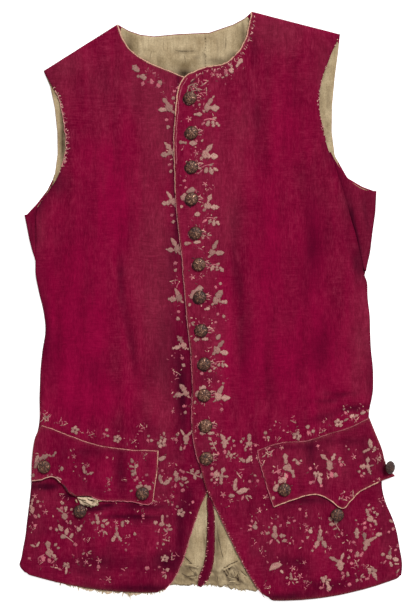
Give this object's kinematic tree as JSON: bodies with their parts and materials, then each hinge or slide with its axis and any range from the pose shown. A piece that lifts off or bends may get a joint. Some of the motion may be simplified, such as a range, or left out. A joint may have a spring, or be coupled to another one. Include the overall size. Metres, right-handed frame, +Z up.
{
  "type": "embroidered sleeveless waistcoat, laid flat",
  "caption": "Eighteenth-century embroidered silk waistcoat laid flat on its back: lapped and buttoned front, scalloped pocket flaps, cut-away skirts.",
  "frame": {"origin": "middle of the bounding box's base, on the surface that the garment lies on", "axes": "+Z up from the surface, +Y towards the neck along the garment's length, +X towards the wearer's left"},
  "size_m": [0.5152, 0.7944, 0.0181],
  "materials": {
    "crimson_silk": "ribbed crimson silk, dulled and blotchy with age, with tan and pinkish embroidered sprigs",
    "cream_linen": "creased plain-woven linen, aged to a tan cream",
    "metal_thread": "tarnished metal thread worked over a mould, dark olive brass"
  },
  "bodies": {
    "root": {"back": "crimson_silk", "back_lining": "cream_linen", "button_01": "metal_thread", "button_02": "metal_thread", "button_03": "metal_thread", "button_04": "metal_thread", "button_05": "metal_thread", "button_06": "metal_thread", "button_07": "metal_thread", "button_08": "metal_thread", "button_09": "metal_thread", "button_10": "metal_thread", "button_11": "metal_thread", "button_12": "metal_thread", "flap_left": "crimson_silk", "flap_left_button_1": "metal_thread", "flap_left_button_2": "metal_thread", "flap_left_button_3": "metal_thread", "flap_right": "crimson_silk", "flap_right_button_1": "metal_thread", "flap_right_button_2": "metal_thread", "flap_right_button_3": "metal_thread", "flap_right_lining": "cream_linen", "front_left": "crimson_silk", "front_right": "crimson_silk", "front_right_lining": "cream_linen", "vent_facing": "crimson_silk"}
  },
  "joints": []
}
